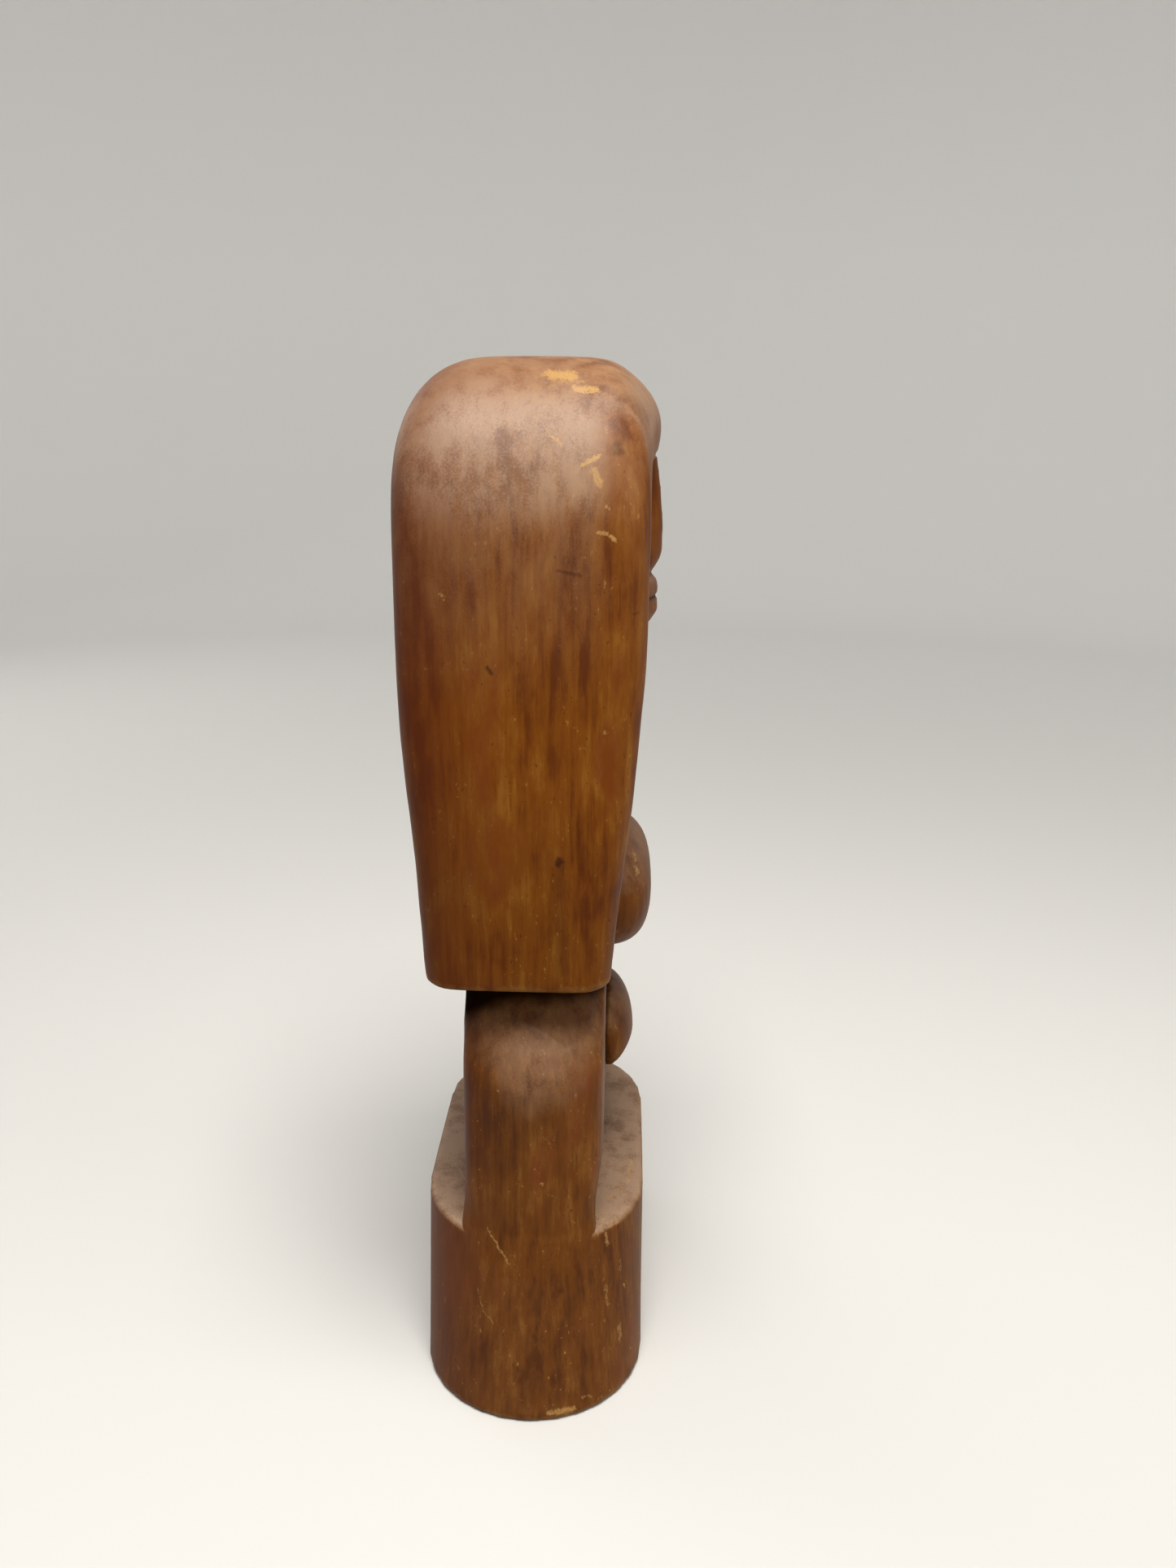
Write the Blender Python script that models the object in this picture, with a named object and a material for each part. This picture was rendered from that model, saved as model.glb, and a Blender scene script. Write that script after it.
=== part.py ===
"""Carved wooden tiki figure on an oval plinth, as an assembly of joined wooden pieces.

Metres, +Z up. The figure faces -Y and its right side is at -X. The origin is the middle of the
plinth's underside. Neighbouring pieces stop FIT short of each other, the room that glue takes.
"""

import math

import bmesh
import bpy
from mathutils import Matrix, Vector

FIT = 0.0003

# Plinth: a long oval whose ends lean in towards the top.
BASE_HEIGHT = 0.062
BASE_HALF_LENGTH = 0.0778
BASE_TOP_HALF_LENGTH = 0.0662
BASE_HALF_DEPTH = 0.038
BASE_EDGE = 0.0012
RIM_ROUND = 0.0005

# Leg columns, one at each end of the plinth.
LEG_INNER_X = 0.022
LEG_FRONT = 0.0238
LEG_BACK = 0.0225
LEG_CORNER = 0.004
HIP_HEIGHT = 0.115
HIP_REACH = 0.0640
HIP_NECK = 0.0165

# Mantle: crown, forehead band, side falls and back, open at the front below the band.
HEIGHT = 0.3406
MANTLE_LOW = 0.150
MANTLE_HALF_WIDTH = 0.0635
MANTLE_BACK = 0.0404
MANTLE_CORNER = 0.010
HEEL = 0.0036
BACK_TAPER = (0.0058, 0.110)

# How far the mantle's front edge stands out at each height: it draws back towards its lower end.
MANTLE_FRONT = ((0.150, 0.0252), (0.163, 0.0265), (0.210, 0.0316), (0.250, 0.0346), (0.290, 0.0352))

# The crown: the height where each way's curve starts, the curve's power, and how far it draws in.
SIDE_DOME = (0.285, 2.1, 0.048)
FRONT_DOME = (0.300, 2.4, 0.0180)
BACK_DOME = (0.302, 2.4, 0.0270)

# The brow, a bulge across the forehead: how far it stands out, its height and its half height.
BROW = (0.0059, 0.324, 0.021)

# The mantle's pocket, which houses the face and the breast board.
POCKET_HALF_WIDTH = 0.046
POCKET_FLOOR = 0.005
POCKET_TOP = 0.3115
POCKET_CORNER = 0.026

# The face, from the chin's lower edge up. A mound is its depth, then where it lies and its half
# width across, then where it lies and its half height.
CHIN_LOW = 0.232
FACE_FRONT = 0.0305
CHEEK_FALL = 0.0050
MOUNDS = (
    (0.0030, (0.0, 0.022), (0.2440, 0.0160)),  # chin
    (0.0030, (0.024, 0.018), (0.2760, 0.0180)),  # cheeks
    (0.0058, (0.0, 0.036), (0.2655, 0.0225)),  # muzzle
    (0.0032, (0.0, 0.025), (0.2702, 0.0062)),  # upper lip
    (0.0030, (0.0, 0.022), (0.2622, 0.0066)),  # lower lip
    (-0.0060, (0.021, 0.017), (0.2990, 0.0130)),  # eye sockets
    (0.0052, (0.021, 0.0125), (0.2975, 0.0068)),  # eyes
)
NOSE_RIDGE = (
    (0.2738, 0.0),
    (0.2755, 0.0033),
    (0.2781, 0.0061),
    (0.2820, 0.0085),
    (0.2880, 0.0097),
    (0.3010, 0.0086),
    (0.3120, 0.0070),
)
NOSE_WIDTH = ((0.275, 0.0150), (0.284, 0.0155), (0.297, 0.0105), (0.312, 0.0090))

# Bosses on the trunk's front: height of the middle, half width and height, how far they stand
# out, how far the crown sags, how much the lower edge is undercut, how square the outline is,
# and the powers that draw the boss in across and upwards towards its crown.
CHEST = (0.1672, (0.0370, 0.0199), 0.0146, 0.0, 0.5, 0.80, (0.5, 0.9))
BELLY = (0.1116, (0.0215, 0.0169), 0.0092, 0.0040, 0.9, 1.0, (0.85, 0.85))

# Trunk between the legs, and the neck and the shoulders above it: the height where they start,
# the neck's depth and half width, and how far the shoulders fall away.
TRUNK_LOW = 0.094
TRUNK_FRONT = 0.0240
TRUNK_BACK = 0.0180
NECK_LOW = 0.196
NECK = (0.0045, 0.024)
SHOULDER_FALL = 0.0040

# Round tenons, as radius and length, and the pegs.
LEG_TENON = (0.010, 0.018)
HIP_TENON = (0.007, 0.009)
BOSS_TENON = (0.006, 0.009)
PEG_RADIUS = 0.004
PEG_REACH = 0.012
PEGS = (("peg_lower", 0.190), ("peg_upper", 0.218))

# Wood colours in linear RGB, with each one's roughness.
DARK_WOOD = ((0.120, 0.040, 0.010), 0.42)
MID_WOOD = ((0.190, 0.072, 0.018), 0.38)
WARM_WOOD = ((0.160, 0.055, 0.013), 0.40)
RAW_WOOD = ((0.420, 0.240, 0.110), 0.70)


def mix(low, high, share):
    return low + (high - low) * share


def smooth(share):
    """A share from 0 to 1, eased at both ends and held there outside them."""
    share = min(max(share, 0.0), 1.0)
    return share * share * (3 - 2 * share)


def along(stations, z):
    """The value at z between (z, value) stations."""
    for (z_low, low), (z_high, high) in zip(stations, stations[1:]):
        if z <= z_high:
            return mix(low, high, max(z - z_low, 0.0) / (z_high - z_low))
    return stations[-1][1]


def bump(distance):
    """A round hill: 1 at distance 0, 0 with no edge at distance 1."""
    return (1 - min(abs(distance), 1.0) ** 2) ** 2


def wood(name, look):
    colour, roughness = look
    material = bpy.data.materials.new(name)
    material.use_nodes = True
    shader = material.node_tree.nodes["Principled BSDF"]
    shader.inputs["Base Color"].default_value = (*colour, 1.0)
    shader.inputs["Roughness"].default_value = roughness
    return material


def solid(name, points, faces):
    """A named object from points and faces, its faces turned outwards and its round parts shaded smooth."""
    mesh = bpy.data.meshes.new(name)
    mesh.from_pydata(points, [], faces)
    work = bmesh.new()
    work.from_mesh(mesh)
    bmesh.ops.recalc_face_normals(work, faces=work.faces)
    work.to_mesh(mesh)
    work.free()
    mesh.shade_smooth()
    mesh.set_sharp_from_angle(angle=math.radians(40))
    thing = bpy.data.objects.new(name, mesh)
    bpy.context.scene.collection.objects.link(thing)
    return thing


def helper(thing):
    """Keeps a cutter or an added shape out of the finished model."""
    thing.hide_render = True
    thing.display_type = "WIRE"
    return thing


def combine(thing, other, operation):
    modifier = thing.modifiers.new(f"{operation.lower()}_{other.name}", "BOOLEAN")
    modifier.operation = operation
    modifier.solver = "EXACT"
    modifier.object = helper(other)


def loft(name, rings):
    """A solid through rings of equal length, flat at both ends."""
    count = len(rings[0])
    last = (len(rings) - 1) * count
    faces = [tuple(range(count)), tuple(range(last, last + count))]
    for start in range(0, last, count):
        for i in range(count):
            j = (i + 1) % count
            faces.append((start + i, start + j, start + count + j, start + count + i))
    return solid(name, [point for ring in rings for point in ring], faces)


def slab_ring(z, xs, ys, corner, swell=None, long_steps=7, short_steps=4, arc_steps=4):
    """A level rectangle with round corners. swell may move each (x, y), to crown a side."""
    (x_low, x_high), (y_low, y_high) = xs, ys
    centres = (
        (x_high - corner, y_high - corner),
        (x_low + corner, y_high - corner),
        (x_low + corner, y_low + corner),
        (x_high - corner, y_low + corner),
    )
    outline = []
    for quarter, (x, y) in enumerate(centres):
        for step in range(arc_steps + 1):
            angle = math.radians(90 * (quarter + step / arc_steps))
            outline.append((x + corner * math.cos(angle), y + corner * math.sin(angle)))
        start, end = outline[-1], centres[(quarter + 1) % 4]
        steps = long_steps if quarter % 2 == 0 else short_steps
        for step in range(1, steps):
            share = step / steps
            if quarter % 2 == 0:
                outline.append((mix(start[0], end[0], share), start[1]))
            else:
                outline.append((start[0], mix(start[1], end[1], share)))
    if swell:
        outline = [swell(x, y) for x, y in outline]
    return [(x, y, z) for x, y in outline]


def oval_ring(z, half_length, half_depth, arc_steps=14):
    """A level oval: two straight sides and two round ends."""
    ring = []
    for side in (1, -1):
        for step in range(arc_steps + 1):
            angle = math.radians(180 * step / arc_steps - 90)
            x = half_length - half_depth + half_depth * math.cos(angle)
            ring.append((side * x, side * half_depth * math.sin(angle), z))
    return ring


def rod(name, centre, radius, length, axis, sides=20):
    """A straight round bar about centre, along axis."""
    rings = []
    for end in (-length / 2, length / 2):
        angles = [2 * math.pi * side / sides for side in range(sides)]
        rings.append([(radius * math.cos(a), radius * math.sin(a), end) for a in angles])
    thing = loft(name, rings)
    turn = Vector((0, 0, 1)).rotation_difference(Vector(axis)).to_matrix().to_4x4()
    thing.data.transform(Matrix.Translation(centre) @ turn)
    return thing


def join_with_tenon(piece, neighbour, face, axis, size):
    """Adds a round tenon to piece, out of the point face along axis, and cuts its socket in neighbour."""
    radius, length = size
    face, axis = Vector(face), Vector(axis)
    root = 0.004
    label = f"{piece.name}_tenon"
    tenon = rod(label, face + axis * (length - root) / 2, radius, length + root, axis)
    combine(piece, tenon, "UNION")
    reach = length + 2 * FIT
    socket = rod(f"{label}_socket", face + axis * (reach - root) / 2, radius + FIT, reach + root, axis)
    combine(neighbour, socket, "DIFFERENCE")


def arch(name, half_width, low, high, corner, y_low, y_high):
    """A block with a flat bottom and round top corners, along Y."""
    outline = [(half_width, low), (-half_width, low)]
    for side, first in ((-1, 180), (1, 90)):
        for step in range(9):
            angle = math.radians(first - 90 * step / 8)
            x = side * (half_width - corner) + corner * math.cos(angle)
            outline.append((x, high - corner + corner * math.sin(angle)))
    count = len(outline)
    points = [(x, y, z) for y in (y_low, y_high) for x, z in outline]
    faces = [tuple(range(count)), tuple(range(count, 2 * count))]
    for i in range(count):
        j = (i + 1) % count
        faces.append((i, j, count + j, count + i))
    return solid(name, points, faces)


def relief_board(name, half_width, z_span, back, counts, relief):
    """A board with a flat back at y = -back, whose carved front stands relief(x, z) out along -Y."""
    columns, rows = counts
    xs = [mix(-half_width, half_width, i / columns) for i in range(columns + 1)]
    zs = [mix(*z_span, j / rows) for j in range(rows + 1)]
    points = [(x, -relief(x, z), z) for z in zs for x in xs]
    width = columns + 1
    faces = []
    for j in range(rows):
        for i in range(columns):
            a = j * width + i
            faces.append((a, a + 1, a + width + 1, a + width))
    rim = list(range(width))
    rim += [j * width + columns for j in range(1, rows + 1)]
    rim += [rows * width + i for i in range(columns - 1, -1, -1)]
    rim += [j * width for j in range(rows - 1, 0, -1)]
    first = len(points)
    points += [(points[i][0], -back, points[i][2]) for i in rim]
    for k, front in enumerate(rim):
        after = (k + 1) % len(rim)
        faces.append((front, rim[after], first + after, first + k))
    faces.append(tuple(range(first, first + len(rim))))
    return solid(name, points, faces)


def make_base():
    levels = (
        (0, BASE_EDGE),
        (BASE_EDGE, 0),
        (BASE_HEIGHT * 0.5, 0),
        (BASE_HEIGHT - RIM_ROUND, 0),
        (BASE_HEIGHT - RIM_ROUND * 0.3, RIM_ROUND * 0.3),
        (BASE_HEIGHT, RIM_ROUND),
    )
    rings = []
    for z, inset in levels:
        half_length = mix(BASE_HALF_LENGTH, BASE_TOP_HALF_LENGTH, z / BASE_HEIGHT)
        rings.append(oval_ring(z, half_length - inset, BASE_HALF_DEPTH - inset))
    return loft("base", rings)


def leg_reach(z):
    """How far a leg's outer face stands from the middle. The hip swells out below a hollow neck."""
    if z <= HIP_HEIGHT:
        return along(((BASE_HEIGHT, BASE_TOP_HALF_LENGTH - RIM_ROUND), (HIP_HEIGHT, HIP_REACH)), z)
    rise = (z - HIP_HEIGHT) / (MANTLE_LOW - HIP_HEIGHT)
    return HIP_REACH - HIP_NECK * rise**1.7


def make_leg(name, side):
    top = MANTLE_LOW - FIT
    rings = []
    for step in range(17):
        z = mix(BASE_HEIGHT + FIT, top, step / 16)
        reach = leg_reach(z)
        front = mix(LEG_FRONT - 0.0030, LEG_FRONT, smooth((z - BASE_HEIGHT) / 0.030))

        def crown(x, y, reach=reach):
            outward = smooth((x - LEG_INNER_X) / (reach - LEG_INNER_X))
            round_end = BASE_HALF_DEPTH - math.sqrt(BASE_HALF_DEPTH**2 - y**2)
            return x - outward * round_end, y

        ring = slab_ring(z, (LEG_INNER_X, reach), (-front, LEG_BACK), LEG_CORNER, crown, 4, 5)
        rings.append([(side * x, y, z) for x, y, z in ring])
    return loft(name, rings)


def breast_relief(x, z):
    """The breast board's front: flat behind the chest, with a neck and sloping shoulders above it."""
    above = smooth((z - NECK_LOW) / (CHIN_LOW - NECK_LOW))
    depth, half_width = NECK
    slope = SHOULDER_FALL * (x / POCKET_HALF_WIDTH) ** 2
    return TRUNK_FRONT + above * (depth * bump(x / half_width) - slope)


def make_torso():
    half_width = POCKET_HALF_WIDTH - FIT
    board_span = (MANTLE_LOW, CHIN_LOW - FIT / 2)
    torso = relief_board("torso", half_width, board_span, POCKET_FLOOR + FIT, (16, 14), breast_relief)
    rings = []
    for z in (TRUNK_LOW, TRUNK_LOW + 0.004, 0.120, 0.140, MANTLE_LOW - FIT):
        lift = 0.004 * (1 - smooth((z - TRUNK_LOW) / 0.004))
        half = LEG_INNER_X - FIT
        rings.append(slab_ring(z, (-half, half), (-TRUNK_FRONT + lift, TRUNK_BACK - lift), 0.003))
    combine(torso, loft("torso_trunk", rings), "UNION")
    overlap = 0.004
    ys = (-TRUNK_FRONT, -POCKET_FLOOR - FIT)
    neck = [
        slab_ring(z, (FIT - LEG_INNER_X, LEG_INNER_X - FIT), ys, 0.001)
        for z in (MANTLE_LOW - overlap, MANTLE_LOW + overlap)
    ]
    combine(torso, loft("torso_link", neck), "UNION")
    return torso


def closed(dome, z):
    """How far a side of the crown has drawn in at height z, as a share of its whole draw."""
    start, power, _ = dome
    rise = min(max((z - start) / (HEIGHT - start), 0.0), 1.0)
    return 1 - (1 - rise**power) ** (1 / power)


def make_mantle():
    heights = [MANTLE_LOW + rise for rise in (0, 0.0008, 0.0020, HEEL)]
    heights += [0.170, 0.190, 0.210, 0.230, 0.250, 0.270, 0.285, 0.293, 0.300]
    top_drop = (0.0335, 0.0275, 0.0220, 0.0168, 0.0120, 0.0080, 0.0048, 0.0024, 0.0010, 0.0003, 0)
    heights += [HEIGHT - drop for drop in top_drop]
    taper_depth, taper_height = BACK_TAPER
    brow_depth, brow_z, brow_half = BROW
    rings = []
    for z in heights:
        below_arc = min(max(MANTLE_LOW + HEEL - z, 0.0) / HEEL, 1.0)
        heel = HEEL * (1 - math.sqrt(1 - below_arc**2))
        lip = 0.0008 * (1 - smooth((z - MANTLE_LOW) / 0.0008))
        taper = taper_depth * (1 - smooth((z - MANTLE_LOW) / taper_height))
        half_width = MANTLE_HALF_WIDTH - lip - SIDE_DOME[2] * closed(SIDE_DOME, z)
        front = along(MANTLE_FRONT, z) - lip - FRONT_DOME[2] * closed(FRONT_DOME, z)
        back = MANTLE_BACK - heel - taper - BACK_DOME[2] * closed(BACK_DOME, z)
        corner = MANTLE_CORNER + 0.0015 * closed(FRONT_DOME, z)
        brow = brow_depth * bump((z - brow_z) / brow_half) * (1 - closed(FRONT_DOME, z) ** 2)

        def crown(x, y, front=front, brow=brow, flat=half_width - corner):
            forward = brow if y <= -front + 1e-6 else 0.0
            return x, y - forward * (1 - (x / flat) ** 2)

        rings.append(slab_ring(z, (-half_width, half_width), (-front, back), corner, crown))
    mantle = loft("hair_mantle", rings)
    low = MANTLE_LOW - 0.020
    pocket = arch("pocket", POCKET_HALF_WIDTH, low, POCKET_TOP, POCKET_CORNER, -0.060, -POCKET_FLOOR)
    combine(mantle, pocket, "DIFFERENCE")
    return mantle


def face_relief(x, z):
    """The face's front: the mounds and the nose on a gently rounded ground."""
    side = abs(x)
    ground = FACE_FRONT - CHEEK_FALL * (side / POCKET_HALF_WIDTH) ** 2
    jaw = -0.0040 * smooth((0.240 - z) / 0.008)
    nose = along(NOSE_RIDGE, z) * bump(x / along(NOSE_WIDTH, z)) ** 0.7
    mounds = 0.0
    for depth, (x_middle, half_width), (z_middle, half_height) in MOUNDS:
        mounds += depth * bump((side - x_middle) / half_width) * bump((z - z_middle) / half_height)
    return ground + jaw + nose + mounds


def make_face():
    half_width = POCKET_HALF_WIDTH - FIT
    span = (CHIN_LOW + FIT / 2, POCKET_TOP + 0.004)
    face = relief_board("face_panel", half_width, span, POCKET_FLOOR + FIT, (36, 34), face_relief)
    limits = (CHIN_LOW - 0.004, POCKET_TOP - FIT, POCKET_CORNER)
    outline = arch("face_outline", half_width + 0.00005, *limits, -0.060, 0.010)
    combine(face, outline, "INTERSECT")
    return face


def make_boss(name, shape, torso, sides=28, steps=8):
    """A rounded boss on the trunk's front, on a round tenon of its own."""
    middle, (half_x, half_z), depth, sag, undercut, square, (power_x, power_z) = shape
    root = -TRUNK_FRONT - FIT
    rings = []
    for step in range(steps + 1):
        turn = math.radians(84 * step / steps)
        shrink_x, shrink_z = math.cos(turn) ** power_x, math.cos(turn) ** power_z
        ring = []
        for spoke in range(sides):
            angle = 2 * math.pi * spoke / sides
            across = math.copysign(abs(math.cos(angle)) ** square, math.cos(angle))
            upward = math.copysign(abs(math.sin(angle)) ** square, math.sin(angle))
            below = max(-upward, 0.0)
            keep = shrink_z + (1 - shrink_z) * undercut * below * math.cos(turn)
            z = middle + half_z * keep * upward - sag * math.sin(turn)
            ring.append((half_x * shrink_x * across, root - depth * math.sin(turn), z))
        rings.append(ring)
    boss = loft(name, rings)
    join_with_tenon(boss, torso, (0, root, middle), (0, 1, 0), BOSS_TENON)
    return boss


def make_peg(name, height, mantle, torso):
    """A blind peg through the glue line between the mantle and the breast board, with its hole in both."""
    centre, axis = (0, -POCKET_FLOOR - FIT / 2, height), (0, 1, 0)
    peg = rod(name, centre, PEG_RADIUS, 2 * PEG_REACH, axis, 16)
    hole = rod(f"{name}_hole", centre, PEG_RADIUS + FIT, 2 * (PEG_REACH + FIT), axis, 16)
    combine(mantle, hole, "DIFFERENCE")
    combine(torso, hole, "DIFFERENCE")
    return peg


def main():
    for thing in list(bpy.data.objects):
        bpy.data.objects.remove(thing)
    base = make_base()
    torso = make_torso()
    mantle = make_mantle()
    face = make_face()
    legs = {}
    for name, side in (("leg_right", -1), ("leg_left", 1)):
        leg = make_leg(name, side)
        foot = (side * 0.043, 0, BASE_HEIGHT + FIT)
        join_with_tenon(leg, base, foot, (0, 0, -1), LEG_TENON)
        join_with_tenon(leg, torso, (side * LEG_INNER_X, 0, 0.122), (-side, 0, 0), HIP_TENON)
        legs[name] = leg
    bosses = [make_boss("belly", BELLY, torso), make_boss("chest", CHEST, torso)]
    pegs = [make_peg(name, height, mantle, torso) for name, height in PEGS]
    looks = [
        (base, WARM_WOOD),
        (torso, DARK_WOOD),
        (mantle, MID_WOOD),
        (face, MID_WOOD),
        (legs["leg_right"], WARM_WOOD),
        (legs["leg_left"], WARM_WOOD),
        *((boss, WARM_WOOD) for boss in bosses),
        *((peg, RAW_WOOD) for peg in pegs),
    ]
    for thing, look in looks:
        thing.data.materials.append(wood(f"{thing.name}_wood", look))


main()
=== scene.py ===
"""Carved wooden tiki figure: sculpted surfaces, stained and waxed wood, camera, light and floor.

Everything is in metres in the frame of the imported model: +Z up, the figure faces -Y, and its
right side is at -X.
"""

import math

import bmesh
import bpy
import numpy as np
from mathutils import Matrix, Vector
from mathutils.kdtree import KDTree


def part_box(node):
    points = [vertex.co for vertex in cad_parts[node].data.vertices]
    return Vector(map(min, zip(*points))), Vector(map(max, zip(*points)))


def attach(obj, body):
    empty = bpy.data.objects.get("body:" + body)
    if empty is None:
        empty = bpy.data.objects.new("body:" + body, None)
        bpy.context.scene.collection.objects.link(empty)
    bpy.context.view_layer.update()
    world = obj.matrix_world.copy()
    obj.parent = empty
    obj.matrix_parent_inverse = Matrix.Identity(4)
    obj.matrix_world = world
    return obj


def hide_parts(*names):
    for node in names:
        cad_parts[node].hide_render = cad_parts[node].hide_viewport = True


MM = 0.001
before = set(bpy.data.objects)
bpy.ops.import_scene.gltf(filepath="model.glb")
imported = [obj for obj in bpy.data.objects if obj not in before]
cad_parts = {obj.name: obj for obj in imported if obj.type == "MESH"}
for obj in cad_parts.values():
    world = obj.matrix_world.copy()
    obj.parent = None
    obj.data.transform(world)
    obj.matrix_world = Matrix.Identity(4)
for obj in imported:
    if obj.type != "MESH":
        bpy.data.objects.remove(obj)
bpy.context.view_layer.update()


# ---------------------------------------------------------------- camera, floor and light


def srgb(red, green, blue):
    """Linear RGB from a 0 to 255 display colour."""
    values = []
    for value in (red, green, blue):
        share = value / 255
        values.append(share / 12.92 if share <= 0.04045 else ((share + 0.055) / 1.055) ** 2.4)
    return tuple(values)


def add_object(name, data):
    thing = bpy.data.objects.new(name, data)
    bpy.context.scene.collection.objects.link(thing)
    return thing


CAMERA_PLACE = Vector((-0.4149, -0.0260, 0.3210))
CAMERA_AHEAD = Vector((0.95987, 0.02253, -0.27955))
CAMERA_ROLL = math.radians(0.54)
CAMERA_SENSOR = 36.0
CAMERA_LENS = 28.46


def make_camera():
    """A close camera at the figure's right side, almost level with its brow."""
    ahead = CAMERA_AHEAD.normalized()
    level = ahead.cross(Vector((0, 0, 1))).normalized()
    above = level.cross(ahead)
    right = level * math.cos(CAMERA_ROLL) + above * math.sin(CAMERA_ROLL)
    up = above * math.cos(CAMERA_ROLL) - level * math.sin(CAMERA_ROLL)
    data = bpy.data.cameras.new("camera")
    data.sensor_width = CAMERA_SENSOR
    data.lens = CAMERA_LENS
    data.clip_start = 0.01
    data.clip_end = 20.0
    camera = add_object("camera", data)
    axes = Matrix((right, up, -ahead)).transposed().to_4x4()
    camera.matrix_world = Matrix.Translation(CAMERA_PLACE) @ axes
    bpy.context.scene.camera = camera


def area_light(name, place, target, size, power, colour):
    """A square light of the given side and power, turned towards target."""
    data = bpy.data.lights.new(name, "AREA")
    data.size = size
    data.energy = power
    data.color = colour
    light = add_object(name, data)
    light.location = place
    light.rotation_euler = (Vector(target) - Vector(place)).to_track_quat("-Z", "Y").to_euler()


FLOOR_RADIUS = 1.6
FLOOR_BEND = 0.6
FLOOR_BEND_STEPS = 12
FLOOR_SIDES = 64
BACKDROP_HEIGHT = 2.4


def floor_profile():
    """Radius and height of the floor's rings, from the middle out and up."""
    profile = [(FLOOR_RADIUS, 0.0)]
    for step in range(1, FLOOR_BEND_STEPS + 1):
        angle = math.radians(90 * step / FLOOR_BEND_STEPS)
        out, up = FLOOR_BEND * math.sin(angle), FLOOR_BEND - FLOOR_BEND * math.cos(angle)
        profile.append((FLOOR_RADIUS + out, up))
    profile.append((FLOOR_RADIUS + FLOOR_BEND, BACKDROP_HEIGHT))
    return profile


def floor_paint():
    """Pale paint, a little darker near the figure."""
    material = bpy.data.materials.new("floor_paint")
    material.use_nodes = True
    tree = material.node_tree
    shader = tree.nodes["Principled BSDF"]
    place = add_node(tree, "ShaderNodeTexCoord", {}).outputs["Object"]
    radius = vector(tree, "LENGTH", place, output=1)
    colour = blend(tree, span(tree, radius, 0.5, 1.8), (0.60, 0.60, 0.60), (0.89, 0.89, 0.89))
    tree.links.new(colour, shader.inputs["Base Color"])
    shader.inputs["Roughness"].default_value = 0.8
    return material


def make_stage():
    """A pale floor that turns up into a backdrop behind the figure, all round."""
    profile = floor_profile()
    points = [(0.0, 0.0, 0.0)]
    for radius, height in profile:
        for side in range(FLOOR_SIDES):
            turn = 2 * math.pi * side / FLOOR_SIDES
            points.append((radius * math.cos(turn), radius * math.sin(turn), height))
    faces = []
    for side in range(FLOOR_SIDES):
        after = (side + 1) % FLOOR_SIDES
        faces.append((0, 1 + side, 1 + after))
        for ring in range(len(profile) - 1):
            a, b = (1 + ring * FLOOR_SIDES + i for i in (side, after))
            faces.append((a, a + FLOOR_SIDES, b + FLOOR_SIDES, b))
    mesh = bpy.data.meshes.new("floor")
    mesh.from_pydata(points, [], faces)
    mesh.shade_smooth()
    mesh.materials.append(floor_paint())
    add_object("floor", mesh)


WARM = (1.0, 0.96, 0.88)
NEARLY_WHITE = (1.0, 0.97, 0.92)
FIGURE_MIDDLE = (0, 0, 0.17)


def make_light():
    """One strong soft light above the right shoulder, two weak fills and a pale sky."""
    world = bpy.data.worlds.new("world")
    world.use_nodes = True
    back = world.node_tree.nodes["Background"]
    back.inputs["Color"].default_value = (1.0, 0.98, 0.94, 1)
    back.inputs["Strength"].default_value = 0.30
    bpy.context.scene.world = world
    area_light("overhead", (-0.34, -0.06, 1.15), (-0.02, 0, 0.2), 0.5, 17, WARM)
    area_light("front_fill", (-0.5, -1.1, 0.7), FIGURE_MIDDLE, 0.8, 3.5, WARM)
    area_light("back_fill", (0.7, 0.9, 0.9), FIGURE_MIDDLE, 0.9, 3.5, NEARLY_WHITE)
    bpy.context.scene.view_settings.view_transform = "Standard"


# ---------------------------------------------------------------- surfaces


def smooth(share):
    """Eases a share from 0 to 1 at both of its ends."""
    share = np.clip(share, 0.0, 1.0)
    return share * share * (3 - 2 * share)


def ramp(values, low, high):
    """0 below low, 1 above high, eased between them."""
    return smooth((values - low) / (high - low))


def hill(distance):
    """1 at distance 0, falling to 0 at distance 1."""
    return (1 - np.clip(np.abs(distance), 0.0, 1.0) ** 2) ** 2


def hashed(cells, seed):
    """A repeatable number from 0 to 1 for each whole-number cell.

    The odd factors and shifts only mix the bits, so that neighbouring cells get unlike numbers.
    """
    key = cells[:, 0] * 73856093 ^ cells[:, 1] * 19349663 ^ cells[:, 2] * 83492791 ^ seed * 7919
    key = (key ^ key >> 13) * 1274126177 & 0xFFFFFFFF
    key = (key ^ key >> 15) * 2246822519 & 0xFFFFFFFF
    return ((key ^ key >> 16) & 0xFFFF) / 0xFFFF


def noise(points, cell, seed):
    """Smooth noise from -1 to 1 whose features are about one cell across, in metres."""
    scaled = points / np.asarray(cell)
    base = np.floor(scaled).astype(np.int64)
    part = smooth(scaled - base)
    total = np.zeros(len(points))
    for corner in range(8):
        step = np.array([corner & 1, corner >> 1 & 1, corner >> 2 & 1])
        weight = np.where(step, part, 1 - part).prod(axis=1)
        total += weight * (2 * hashed(base + step, seed) - 1)
    return total


def scoops(points, cell, seed):
    """Shallow gouge cuts: 0 at a cut's middle, up to about 1 on the ridges between cuts."""
    scaled = points / np.asarray(cell)
    base = np.floor(scaled).astype(np.int64)
    nearest = np.full(len(points), 9.0)
    for corner in range(27):
        near = base + np.array([corner % 3 - 1, corner // 3 % 3 - 1, corner // 9 - 1])
        middle = near + np.stack([hashed(near, seed + axis) for axis in range(3)], axis=1)
        nearest = np.minimum(nearest, ((scaled - middle) ** 2).sum(axis=1))
    return np.clip(nearest, 0, 1)


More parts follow.
